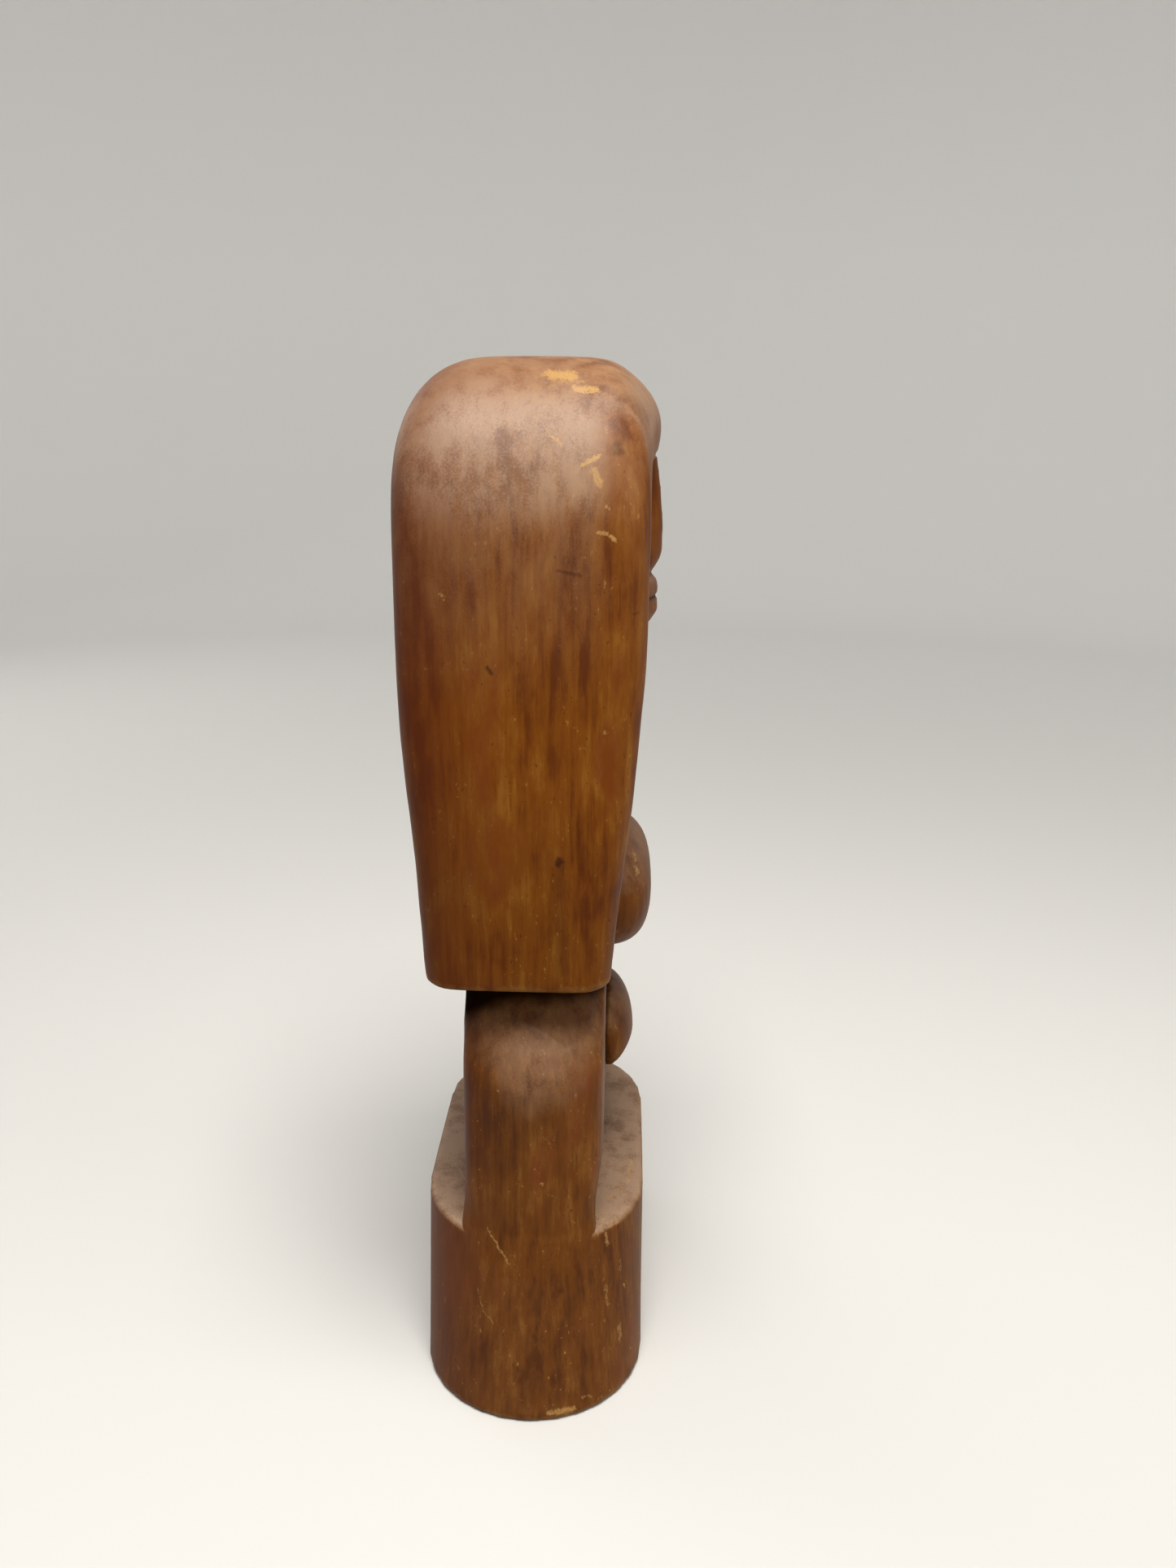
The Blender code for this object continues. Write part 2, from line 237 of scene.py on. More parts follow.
CRISP_ANGLE = math.radians(35)
CRISP_SPACING = 0.6 * MM


class Surface:
    """A fine copy of one piece's mesh that can be smoothed and carved.

    co is every vertex's place, and marks are the values that its material reads at each vertex.
    """

    def __init__(self, node, voxel, added=()):
        """added: lists of level rings of points, each a closed solid to merge into the piece."""
        self.node = node
        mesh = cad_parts[node].data.copy()
        mesh.materials.clear()
        work = bmesh.new()
        work.from_mesh(mesh)
        bmesh.ops.remove_doubles(work, verts=work.verts, dist=1e-5)
        self.crisp = self.crisp_points(work)
        for rings in added:
            self.loft(work, rings)
        work.to_mesh(mesh)
        work.free()
        self.mesh = self.remeshed(mesh, voxel)
        self.mesh.name = f"{node}_carved"
        count = len(self.mesh.vertices)
        self.co = np.empty(count * 3, np.float32)
        self.mesh.vertices.foreach_get("co", self.co)
        self.co = self.co.reshape(-1, 3).astype(float)
        edges = np.empty(len(self.mesh.edges) * 2, np.int32)
        self.mesh.edges.foreach_get("vertices", edges)
        self.edges = edges.reshape(-1, 2)
        self.valence = np.bincount(edges, minlength=count)[:, None]
        self.marks = {}

    @staticmethod
    def remeshed(mesh, voxel):
        """One closed skin of even faces around everything in mesh."""
        rough = add_object("rough", mesh)
        remesh = rough.modifiers.new("remesh", "REMESH")
        remesh.mode = "VOXEL"
        remesh.voxel_size = voxel
        graph = bpy.context.evaluated_depsgraph_get()
        skin = bpy.data.meshes.new_from_object(rough.evaluated_get(graph))
        bpy.data.objects.remove(rough)
        return skin

    @staticmethod
    def loft(work, rings):
        """Adds the closed solid that the rings pass through."""
        levels = [[work.verts.new(point) for point in ring] for ring in rings]
        faces = [work.faces.new(levels[0]), work.faces.new(levels[-1])]
        for low, high in zip(levels, levels[1:]):
            for i in range(len(low)):
                j = (i + 1) % len(low)
                faces.append(work.faces.new((low[i], low[j], high[j], high[i])))
        bmesh.ops.recalc_face_normals(work, faces=faces)

    @staticmethod
    def crisp_points(work):
        """Points along the CAD's sharp edges."""
        points = []
        for edge in work.edges:
            if len(edge.link_faces) == 2 and edge.calc_face_angle(0.0) > CRISP_ANGLE:
                start, end = (vert.co for vert in edge.verts)
                steps = max(int(edge.calc_length() / CRISP_SPACING), 1)
                points += [start.lerp(end, step / steps) for step in range(steps + 1)]
        return points

    def crispness(self, near, far):
        """1 on the CAD's sharp edges, 0 away from them."""
        tree = KDTree(len(self.crisp))
        for index, point in enumerate(self.crisp):
            tree.insert(point, index)
        tree.balance()
        distance = np.array([tree.find(point)[2] for point in self.co])
        return 1 - ramp(distance, near, far)

    def average(self, values):
        """Each vertex's mean over its neighbours."""
        a, b = self.edges.T
        total = np.zeros_like(values)
        for column in range(values.shape[1]):
            total[:, column] = np.bincount(a, values[b, column], len(values))
            total[:, column] += np.bincount(b, values[a, column], len(values))
        return total / self.valence

    def relax(self, rounds):
        """Moves each vertex halfway to its neighbours' mean, again and again."""
        for _ in range(rounds):
            self.co += 0.5 * (self.average(self.co) - self.co)

    def soften(self, rounds, crisp_rounds):
        """Evens out the surface, much less at the CAD's sharp edges than away from them."""
        self.relax(crisp_rounds)
        keep = self.crispness(1.2 * MM, 4.0 * MM)[:, None]
        for _ in range(rounds):
            self.co += 0.5 * (1 - keep) * (self.average(self.co) - self.co)

    def normals(self):
        """Each vertex's outward direction, from the places in co."""
        self.mesh.vertices.foreach_set("co", self.co.astype(np.float32).ravel())
        self.mesh.update()
        found = np.empty(len(self.co) * 3, np.float32)
        self.mesh.vertex_normals.foreach_get("vector", found)
        return found.reshape(-1, 3).astype(float)

    def carve(self, height):
        """Moves each vertex out along its normal by height, in metres."""
        self.co += self.normals() * height[:, None]

    def relief(self, rounds, reach):
        """Signed sharpness: above 0 on rounded-over edges, below 0 in hollows."""
        level = self.co.copy()
        for _ in range(rounds):
            level += 0.5 * (self.average(level) - level)
        return np.clip(((self.co - level) * self.normals()).sum(axis=1) / reach, -1, 1)

    def mark(self, name, values):
        self.marks[name] = values

    def finish(self, piece, material):
        """Makes the object that stands for the CAD node."""
        self.normals()
        for name, values in self.marks.items():
            layer = self.mesh.attributes.new(name, "FLOAT", "POINT")
            layer.data.foreach_set("value", values.astype(np.float32))
        self.mesh.shade_smooth()
        self.mesh.materials.append(material)
        thing = add_object(piece, self.mesh)
        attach(thing, "root")
        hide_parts(self.node)


# ---------------------------------------------------------------- wood


def add_node(tree, kind, inputs, **settings):
    """A new node with its settings, and its inputs linked to sockets or set to values."""
    made = tree.nodes.new(kind)
    for key, value in settings.items():
        setattr(made, key, value)
    for key, value in inputs.items():
        if isinstance(value, bpy.types.NodeSocket):
            tree.links.new(value, made.inputs[key])
        else:
            made.inputs[key].default_value = value
    return made


def calc(tree, operation, *values):
    """The result of one Math node."""
    inputs = dict(enumerate(values))
    return add_node(tree, "ShaderNodeMath", inputs, operation=operation).outputs[0]


def blend(tree, share, low, high):
    """The colour low where share is 0, and high where it is 1."""
    inputs = {0: share}
    for socket, colour in ((6, low), (7, high)):
        inputs[socket] = colour if isinstance(colour, bpy.types.NodeSocket) else (*colour, 1)
    return add_node(tree, "ShaderNodeMix", inputs, data_type="RGBA").outputs[2]


def span(tree, value, low, high, out_low=0.0, out_high=1.0):
    """out_low where value is below low, out_high where it is above high, eased between them."""
    inputs = {0: value, 1: low, 2: high, 3: out_low, 4: out_high}
    made = add_node(tree, "ShaderNodeMapRange", inputs, interpolation_type="SMOOTHSTEP")
    return made.outputs[0]


def cloud(tree, place, size, offset, detail, roughness, output=0):
    """Noise from 0 to 1 whose features are about size (x, y, z) metres across."""
    scale = tuple(1 / length for length in size)
    inputs = {"Vector": place, "Location": (offset, 2.3 * offset, 0.7 * offset), "Scale": scale}
    placed = add_node(tree, "ShaderNodeMapping", inputs).outputs[0]
    inputs = {"Vector": placed, "Scale": 1.0, "Detail": detail, "Roughness": roughness}
    return add_node(tree, "ShaderNodeTexNoise", inputs).outputs[output]


def attribute(tree, name):
    """The value that the mesh holds under this name."""
    return add_node(tree, "ShaderNodeAttribute", {}, attribute_name=name).outputs["Fac"]


def vector(tree, operation, *values, output=0):
    """The result of one Vector Math node: output 0 is a vector, output 1 a number."""
    made = add_node(tree, "ShaderNodeVectorMath", {}, operation=operation)
    for socket, value in zip((made.inputs[0], made.inputs[1]), values):
        if isinstance(value, bpy.types.NodeSocket):
            tree.links.new(value, socket)
        else:
            socket.default_value = value
    return made.outputs[output]


def strokes(tree, place, lines):
    """Above 0 inside thin strokes on the side faces, up to each stroke's own strength.

    A line is its two ends (mm), half its width (mm) and its strength. Depth into the side counts
    less than the other two directions, so an end need not lie exactly on the surface.
    """
    flatten = Vector((0.3, 1, 1))
    flat = vector(tree, "MULTIPLY", place, flatten)
    total = 0.0
    for start, end, half_width, strength in lines:
        start, end = Vector(start) * flatten * MM, Vector(end) * flatten * MM
        along = end - start
        gap = vector(tree, "SUBTRACT", flat, start)
        share = vector(tree, "DOT_PRODUCT", gap, along / along.length_squared, output=1)
        inputs = {0: share, 1: 1.0}
        clamped = add_node(tree, "ShaderNodeMath", inputs, operation="MULTIPLY", use_clamp=True)
        thrice = {axis: clamped.outputs[0] for axis in range(3)}
        spread = add_node(tree, "ShaderNodeCombineXYZ", thrice)
        nearest = vector(tree, "MULTIPLY", spread.outputs[0], along)
        distance = vector(tree, "DISTANCE", gap, nearest, output=1)
        mask = span(tree, distance, 1.9 * half_width * MM, 0.3 * half_width * MM, 0, strength)
        total = calc(tree, "MAXIMUM", total, mask)
    return total


# Noise layers in the wood: feature size (x, y, z in metres), shift, detail and roughness. Most
# features are tall and narrow, because the grain is upright.
GRAIN_LAYERS = {
    "cloudy": ((0.022, 0.022, 0.050), 0.0, 2.0, 0.5),
    "blotch": ((0.0060, 0.0060, 0.014), 2.3, 4.0, 0.6),
    "streak": ((0.0026, 0.0026, 0.030), 3.1, 4.0, 0.65),
    "fibre": ((0.0007, 0.0007, 0.007), 7.7, 2.0, 0.6),
    "speck": ((0.0013, 0.0013, 0.0018), 11.9, 1.0, 0.5),
    "grit": ((0.0006, 0.0006, 0.0006), 13.1, 2.0, 0.6),
}
# How the edges of strokes wander: feature size and reach, in metres.
WANDER_SIZE = (0.0022, 0.0022, 0.0022)
WANDER_REACH = (0.0022, 0.0030, 0.0022)
WANDER_SHIFT = 17.0

RED_PATCH = srgb(92, 30, 6)
DARK_SPOT = srgb(46, 22, 6)
PALE_SPOT = srgb(150, 108, 56)
# The colour of a painted red reflection, laid on towards each piece's back.
PAINTED_RED_REFLECTION = srgb(74, 27, 3)
# The colour of painted shade, laid where the pieces' shade mark is high.
PAINTED_SHADE_COLOUR = srgb(13, 4, 1)
# The colour of painted shade in hollows.
PAINTED_HOLLOW_SHADE = srgb(40, 17, 5)
WORN_EDGE = srgb(140, 98, 48)
# The colour of dust and painted sheen, also used for the painted highlight on the hips.
DUST_AND_SHEEN_COLOUR = srgb(146, 120, 98)
KNOT = srgb(40, 14, 6)
BARE_WOOD = srgb(168, 130, 76)


def weighted(tree, *parts):
    """The sum of parts. A part is a value, the range that it is stretched from, and its weight."""
    total = 0.0
    for value, low, high, weight in parts:
        total = calc(tree, "MULTIPLY_ADD", span(tree, value, low, high), weight, total)
    return total


def grain_colour(tree, layers, tones, flecks):
    """The stain along the grain, with red patches, dark spots and pale spots on it."""
    deep, middle, light = (srgb(*tone) for tone in tones)
    cloudy, blotch, streak, fibre, speck, _ = layers
    tone = weighted(
        tree, (blotch, 0.30, 0.70, 0.30), (streak, 0.30, 0.70, 0.36), (cloudy, 0.30, 0.70, 0.34)
    )
    colour = blend(tree, span(tree, tone, 0.12, 0.55), deep, middle)
    colour = blend(tree, span(tree, tone, 0.50, 0.90), colour, light)
    colour = blend(tree, span(tree, fibre, 0.56, 0.74, 0, 0.28), colour, deep)
    spots = (
        (RED_PATCH, (cloudy, 0.56, 0.66, 0, 0.55), (streak, 0.40, 0.60)),
        (DARK_SPOT, (speck, 0.31, 0.25, 0, 0.5), (blotch, 0.46, 0.56)),
        (PALE_SPOT, (speck, 0.66, 0.76, 0, flecks), (blotch, 0.48, 0.60)),
    )
    for paint, spot, zone in spots:
        share = calc(tree, "MULTIPLY", span(tree, *spot), span(tree, *zone))
        colour = blend(tree, share, colour, paint)
    return colour


def wander(tree, place, offset):
    """place, moved a little this way and that."""
    shift = cloud(tree, place, WANDER_SIZE, offset + WANDER_SHIFT, 2.0, 0.6, output=1)
    shift = vector(tree, "SUBTRACT", shift, (0.5, 0.5, 0.5))
    shift = vector(tree, "MULTIPLY", shift, WANDER_REACH)
    return vector(tree, "ADD", place, shift)


def wood(name, tones, offset, rough=0.46, dust_and_sheen=0.5, flecks=0.5, rubbed=(), dark=()):
    """Stained, waxed wood with upright grain.

    tones are its deep, middle and light colours, and offset its place in the noise. The
    dust-and-sheen strength and flecks are the strengths of the worn haze with its painted sheen and
    of the pale specks. rubbed and dark are strokes.
    """
    material = bpy.data.materials.new(name)
    material.use_nodes = True
    tree = material.node_tree
    shader = tree.nodes["Principled BSDF"]
    place = add_node(tree, "ShaderNodeTexCoord", {}).outputs["Object"]
    layers = [
        cloud(tree, place, size, offset + shift, detail, roughness)
        for size, shift, detail, roughness in GRAIN_LAYERS.values()
    ]
    cloudy, blotch, streak, fibre, speck, grit = layers
    relief, dust_and_sheen_mark, painted_shade = (attribute(tree, mark) for mark in ("relief", "dust_and_sheen", "painted_shade"))
    wandering = wander(tree, place, offset)

    colour = grain_colour(tree, layers, tones, flecks)
    depth = add_node(tree, "ShaderNodeSeparateXYZ", {"Vector": place}).outputs["Y"]
    # Painted reflection: a red tint towards each piece's back, standing in for a red surround
    # reflected in the wood.
    behind = calc(tree, "MULTIPLY_ADD", blotch, 0.012, depth)
    colour = blend(tree, span(tree, behind, 0.012, 0.040, 0, 0.6), colour, PAINTED_RED_REFLECTION)
    # Painted shade: darkens under the mantle, in the recess between the hips, in the face's cuts
    # and along the bosses' rims.
    painted_shade_mottled = calc(tree, "MULTIPLY", painted_shade, span(tree, blotch, 0.2, 0.6, 0.85, 1.0))
    colour = blend(tree, painted_shade_mottled, colour, PAINTED_SHADE_COLOUR)
    # Painted shade in hollows, where relief is below 0.
    hollow_shade = span(tree, relief, -0.85, -0.15, 0.5, 0.0)
    colour = blend(tree, hollow_shade, colour, PAINTED_HOLLOW_SHADE)
    edge = calc(tree, "MULTIPLY_ADD", blotch, 1.6, relief)
    colour = blend(tree, span(tree, edge, 1.45, 1.95, 0, 0.3), colour, WORN_EDGE)
    mottle = weighted(
        tree, (grit, 0.3, 0.7, 0.34), (blotch, 0.32, 0.62, 0.40), (cloudy, 0.36, 0.60, 0.26)
    )
    # Dust and painted sheen: a grey haze on the crown and on faces that look up, and the painted
    # highlight on the hips.
    dust_and_sheen_share = calc(tree, "MULTIPLY", dust_and_sheen_mark, span(tree, mottle, 0.1, 0.8, 0.42, 1.0))
    dust_and_sheen_share = calc(tree, "MULTIPLY", dust_and_sheen_share, dust_and_sheen)
    colour = blend(tree, dust_and_sheen_share, colour, DUST_AND_SHEEN_COLOUR)
    colour = blend(tree, strokes(tree, wandering, dark), colour, KNOT)
    bare = calc(tree, "MULTIPLY_ADD", grit, 0.8, strokes(tree, wandering, rubbed))
    colour = blend(tree, span(tree, bare, 0.62, 1.15, 0, 0.8), colour, BARE_WOOD)
    tree.links.new(colour, shader.inputs["Base Color"])

    matt = calc(tree, "MULTIPLY_ADD", blotch, 0.16, rough - 0.08)
    matt = calc(tree, "MULTIPLY_ADD", dust_and_sheen_share, 0.12, matt)
    matt = calc(tree, "MULTIPLY_ADD", hollow_shade, 0.25, matt)
    tree.links.new(matt, shader.inputs["Roughness"])
    shine = calc(tree, "MULTIPLY_ADD", dust_and_sheen_share, 0.55, 0.10)
    shine = calc(tree, "MULTIPLY", shine, calc(tree, "SUBTRACT", 1.0, painted_shade))
    tree.links.new(shine, shader.inputs["Specular IOR Level"])

    height = calc(tree, "MULTIPLY_ADD", streak, 0.4, calc(tree, "MULTIPLY", fibre, -0.25))
    height = calc(tree, "MULTIPLY_ADD", speck, 0.25, height)
    height = calc(tree, "MULTIPLY_ADD", blotch, 0.8, height)
    inputs = {"Height": height, "Strength": 0.35, "Distance": 0.0004}
    bump = add_node(tree, "ShaderNodeBump", inputs)
    tree.links.new(bump.outputs[0], shader.inputs["Normal"])
    return material


# ---------------------------------------------------------------- the pieces


def standard_marks(surface, dust_and_sheen=0.0, painted_shade=0.0, upward_sheen_and_dust=0.6):
    """Marks the edges, the dust with its painted sheen, and the painted shade. The upward
    dust-and-sheen share is the dust and painted sheen on faces that look up.
    """
    up = surface.normals()[:, 2]
    dust_and_sheen = np.maximum(upward_sheen_and_dust * ramp(up, 0.10, 0.75), dust_and_sheen) * (1 - painted_shade)
    surface.mark("relief", surface.relief(14, 0.45 * MM))
    surface.mark("dust_and_sheen", np.clip(dust_and_sheen, 0, 1))
    surface.mark("painted_shade", np.clip(painted_shade + np.zeros(len(up)), 0, 1))


def hand_carved(surface, seed, swell, cuts):
    """The slight waviness of hand work: broad swells, and long shallow tool cuts."""
    co = surface.co
    height = swell * noise(co, (0.030, 0.030, 0.045), seed)
    height += 0.4 * swell * noise(co, (0.012, 0.012, 0.022), seed + 1)
    height += cuts * (scoops(co, (0.011, 0.011, 0.024), seed + 2) - 0.4)
    surface.carve(height)


# The line down each side face where it is widest: its depth y at each height. In front of it the
# face falls away towards the figure's front, by SIDE_FALL for each SIDE_WIDTH, up to the limit.
RIDGE_HEIGHTS = (0.150, 0.200, 0.225, 0.260, 0.300, 0.330)
RIDGE_DEPTHS = (-0.012, -0.010, -0.009, -0.015, -0.020, -0.021)
SIDE_FALL = 1.3 * MM
SIDE_WIDTH = 0.016
SIDE_FALL_LIMIT = 1.2

# Strokes on the right side, where the finish is rubbed through or stained: ends and half width in
# mm, and strength.
MANTLE_RUBBED = (
    ((-38.8, -5.5, 334.4), (-39.2, -11.5, 334), 1.6, 0.68),
    ((-38.4, -3.0, 334.6), (-38.9, -6.0, 334.3), 1.0, 0.5),
    ((-44.5, -12.5, 330.4), (-44.6, -18.5, 330.2), 1.1, 0.62),
    ((-42.0, -8, 332.4), (-42.0, -15, 332.4), 0.7, 0.4),
    ((-53.8, -4.6, 319.8), (-56.7, -9.4, 314.9), 0.5, 0.45),
    ((-59, -15.6, 309.7), (-58, -19.6, 312.3), 0.9, 0.65),
    ((-59.6, -18.8, 308.2), (-60.6, -20, 305), 1.3, 0.6),
    ((-62.1, -22.2, 298.6), (-62.2, -23, 298.2), 0.6, 0.5),
    ((-61.9, -27, 298.6), (-61.9, -28, 298.2), 0.5, 0.4),
    ((-63.2, -19.5, 291.6), (-63.2, -22.4, 291.2), 0.6, 0.6),
    ((-63.2, -23.4, 290.6), (-63.2, -24.8, 289.6), 0.6, 0.65),
    ((-63.4, 24.7, 273.8), (-63.4, 23.9, 272.6), 0.6, 0.4),
    ((-63, -22.5, 234.6), (-63, -22.9, 233.8), 0.7, 0.4),
    ((-60, 33.5, 311), (-60, 32.4, 309.6), 0.6, 0.35),
)
MANTLE_DARK = (
    ((-63.5, -9.3, 194.6), (-63.5, -8.9, 193.0), 0.9, 0.8),
    ((-63.5, -9.2, 192.0), (-63.5, -10.4, 158.0), 1.6, 0.22),
    ((-63.5, 11.3, 252.6), (-63.5, 10.8, 251.6), 0.7, 0.7),
    ((-57.0, -25.0, 315.0), (-57.4, -25.4, 313.6), 1.2, 0.5),
    ((-63.5, -8.6, 280.9), (-63.5, -15.6, 279.6), 0.35, 0.4),
)


def draw_in_sides(co):
    """Lets the mantle's side faces fall away in front of their widest line."""
    ridge = np.interp(co[:, 2], RIDGE_HEIGHTS, RIDGE_DEPTHS)
    outer = ramp(np.abs(co[:, 0]), 0.052, 0.058)
    fall = np.clip((ridge - co[:, 1]) / SIDE_WIDTH, 0, SIDE_FALL_LIMIT)
    co[:, 0] -= np.sign(co[:, 0]) * outer * SIDE_FALL * fall


def crown_dust_and_sheen(co, up):
    """Worn wax and painted sheen on the crown, fading down the sides. Less on its flat top, front
    edges and back.
    """
    dust_and_sheen = ramp(up, 0.04, 0.30) * (1 - 0.5 * ramp(up, 0.55, 0.90))
    dust_and_sheen += 0.30 * ramp(co[:, 2], 0.235, 0.300) * (1 - dust_and_sheen)
    dust_and_sheen *= 1 - 0.75 * ramp(-co[:, 1], 0.0150, 0.0255) * ramp(np.abs(co[:, 0]), 0.046, 0.052)
    dust_and_sheen *= 1 - 0.4 * ramp(co[:, 1], 0.014, 0.034)
    return dust_and_sheen


def mantle_painted_shade(co, up):
    """Painted shade on the cut that faces down, and a trace of it on the lower sides, darker
    towards the bottom.
    """
    painted_shade = 0.9 * ramp(-up, 0.5, 0.9) * ramp(-co[:, 2], -0.160, -0.154)
    return np.maximum(painted_shade, 0.2 * ramp(-co[:, 2], -0.235, -0.150))


def make_mantle(material):
    """Crown, forehead band, sides and back in one piece."""
    surface = Surface("hair_mantle", 1.3 * MM)
    surface.soften(24, 3)
    draw_in_sides(surface.co)
    hand_carved(surface, 11, 0.28 * MM, 0.10 * MM)
    co, up = surface.co, surface.normals()[:, 2]
    # Dust and painted sheen on the crown, painted shade under the mantle and down its lower sides.
    standard_marks(surface, crown_dust_and_sheen(co, up), mantle_painted_shade(co, up), upward_sheen_and_dust=0.0)
    surface.finish("hair_mantle_carved", material)


# Levels of the skirt under a leg, in mm: how far below the plinth's top, and how far proud of it.
FOOT_SKIRT = (
    (-6, -0.6),
    (-3, 0.1),
    (0, 0.4),
    (4, 0.35),
    (12, 0.15),
    (18, -0.1),
    (22, -0.8),
)
SKIRT_STEPS = 32
# Where the skirt starts inside the leg, and how far its inner corners keep from its outer ones.
SKIRT_INSIDE = 0.030
SKIRT_INSET = 3 * MM
# The share of the skirt's half width over which its edges turn in, and how far.
SKIRT_CORNER = 0.1
SKIRT_TURN = 0.5 * MM


def base_reach(z):
    """Half the plinth's length at height z."""
    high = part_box("base")[1]
    points = np.array([vert.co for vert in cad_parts["base"].data.vertices])
    top = np.abs(points[points[:, 2] > high.z - 0.1 * MM, 0]).max()
    return high.x + (top - high.x) * z / high.z


def foot_skirt(node, side):
    """Rings that carry a leg's outer face down over the plinth's end and sink into it."""
    low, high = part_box(node)
    _, depth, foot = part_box("base")[1]
    front, back = low.y + 2.0 * MM, high.y + 0.8 * MM
    rings = []
    for drop, proud in FOOT_SKIRT:
        z = foot - drop * MM
        reach = base_reach(z) + proud * MM
        inside = side * SKIRT_INSIDE
        ring = [(inside, back - SKIRT_INSET, z), (inside, front + SKIRT_INSET, z)]
        for step in range(SKIRT_STEPS + 1):
            share = 2 * step / SKIRT_STEPS - 1
            y = front + (back - front) * (share + 1) / 2
            corner = max(abs(share) - (1 - SKIRT_CORNER), 0) / SKIRT_CORNER
            x = reach - depth + math.sqrt(depth**2 - y**2) - SKIRT_TURN * corner**2
            ring.append((side * x, y, z))
        rings.append(ring)
    return rings


# How far the hips are pushed out (mm) at each height, to round them over under the mantle.
HIP_LEVELS = (0.086, 0.098, 0.109, 0.116, 0.127, 0.138, 0.149)
HIP_PUSH = (0.0, 0.5, 1.5, 1.9, 0.3, -2.8, -4.2)
# Where a hip is roundest, how far up and down it reaches, and the size of its gouge cuts.
HIP_HEIGHT = 0.130
HIP_REACH = 0.014
HIP_SCOOPS = (0.009, 0.012, 0.010)
# Finer tool cuts on the hips: start and end (y, z), half width and depth, in mm.
HIP_CREASES = (
    ((-6, 133), (-12, 129), 0.9, 0.5),
    ((-11, 129), (-15, 131), 0.8, 0.35),
    ((1, 136), (-4, 134), 0.9, 0.35),
)


def grooves(flat, cuts):
    """Depth of fine tool cuts, in metres, at points given across and up."""
    depth = np.zeros(len(flat))
    for start, end, half_width, deep in cuts:
        start, end = np.array(start) * MM, np.array(end) * MM
        along = end - start
        gap = flat - start
        share = np.clip((gap @ along) / (along @ along), 0, 1)
        away = np.sqrt(((gap - share[:, None] * along) ** 2).sum(axis=1))
        depth = np.maximum(depth, deep * MM * hill(away / (half_width * MM)))
    return depth


def round_hip(surface, side, out):
    """Pushes the hip out and in with its height, less at its front and back, and tools it."""
    co = surface.co
    aside = ((co[:, 1] + 0.003) / 0.020) ** 2
    push = np.interp(co[:, 2] - 0.005 * aside, HIP_LEVELS, HIP_PUSH)
    co[:, 0] += side * out * push * MM * (1 - 0.35 * np.clip(aside, 0, 1))
    hip = out * hill((co[:, 2] - HIP_HEIGHT) / HIP_REACH)
    surface.carve(hip * 0.35 * MM * (scoops(co, HIP_SCOOPS, 29) - 0.3))
    surface.carve(-grooves(surface.co[:, 1:], HIP_CREASES) * (surface.co[:, 0] * side > 0.045))


def hip_painted_highlight(co, out):
    """The painted highlight on the hip: round below, with a wavy edge, and fading out above."""
    wavy = 0.003 * noise(co, (0.006, 0.006, 0.009), 37)
    bottom = 0.1035 + wavy + 0.011 * np.clip(np.abs(co[:, 1] + 0.003) / 0.017, 0, 1.5) ** 2
    worn = ramp(co[:, 2], bottom, bottom + 0.018) * (1 - ramp(co[:, 2], 0.128, 0.141)) * out
    return 0.62 * worn * hill((co[:, 1] + 0.001) / 0.036)


def hip_painted_shadow(co):
    """Painted shadow in the recess under the mantle, above an arch that comes down towards the
    back.
    """
    arch = 0.1455 - 0.006 * np.clip((co[:, 1] - 0.002) / 0.018, 0, 1.4) ** 2
    return 0.97 * ramp(co[:, 2], arch - 0.0065, arch - 0.0015)


def make_leg(node, side, material):
    """A leg with its round hip, and the skirt at its foot."""
    surface = Surface(node, 1.0 * MM, [foot_skirt(node, side)])
    surface.soften(16, 2)
    hand_carved(surface, 23 + side, 0.22 * MM, 0.12 * MM)
    out = ramp(surface.co[:, 0] * side, 0.030, 0.048)
    round_hip(surface, side, out)
    co = surface.co
    # A painted highlight on the hip, and painted shadow in the recess under the mantle.
    standard_marks(surface, hip_painted_highlight(co, out), hip_painted_shadow(co), upward_sheen_and_dust=0.35)
    surface.finish(f"{node}_carved", material)


def tuck_in_ends(co):
    """Draws the plinth's ends in just below its top, where the legs' skirts cover them."""
    covered = ramp(-np.abs(co[:, 1]), -0.0215, -0.0205) * ramp(co[:, 2], 0.054, 0.059)
    co[:, 0] -= np.sign(co[:, 0]) * 0.9 * MM * covered * ramp(np.abs(co[:, 0]), 0.060, 0.0625)


def make_base(material):
    """The plinth, with its matt top, made paler by dust and painted light where it looks up."""
    surface = Surface("base", 1.15 * MM)
    surface.soften(30, 1)
    hand_carved(surface, 31, 0.15 * MM, 0.05 * MM)
    tuck_in_ends(surface.co)
    # Dust and painted light on the plinth's top face.
    top = ramp(surface.normals()[:, 2], 0.6, 0.95) * ramp(surface.co[:, 2], 0.050, 0.058)
    standard_marks(surface, dust_and_sheen=top)
    surface.finish("base_carved", material)


def make_torso(material):
    """Trunk and breast board, with painted shade where the trunk passes up between the hips."""
    surface = Surface("torso", 1.1 * MM)
    surface.soften(12, 3)
    hand_carved(surface, 41, 0.18 * MM, 0.10 * MM)
    co = surface.co
    beside = ramp(-co[:, 2], -0.150, -0.142) * ramp(np.abs(co[:, 0]), 0.012, 0.019)
    standard_marks(surface, painted_shade=0.7 * beside, upward_sheen_and_dust=0.4)
    surface.finish("torso_carved", material)


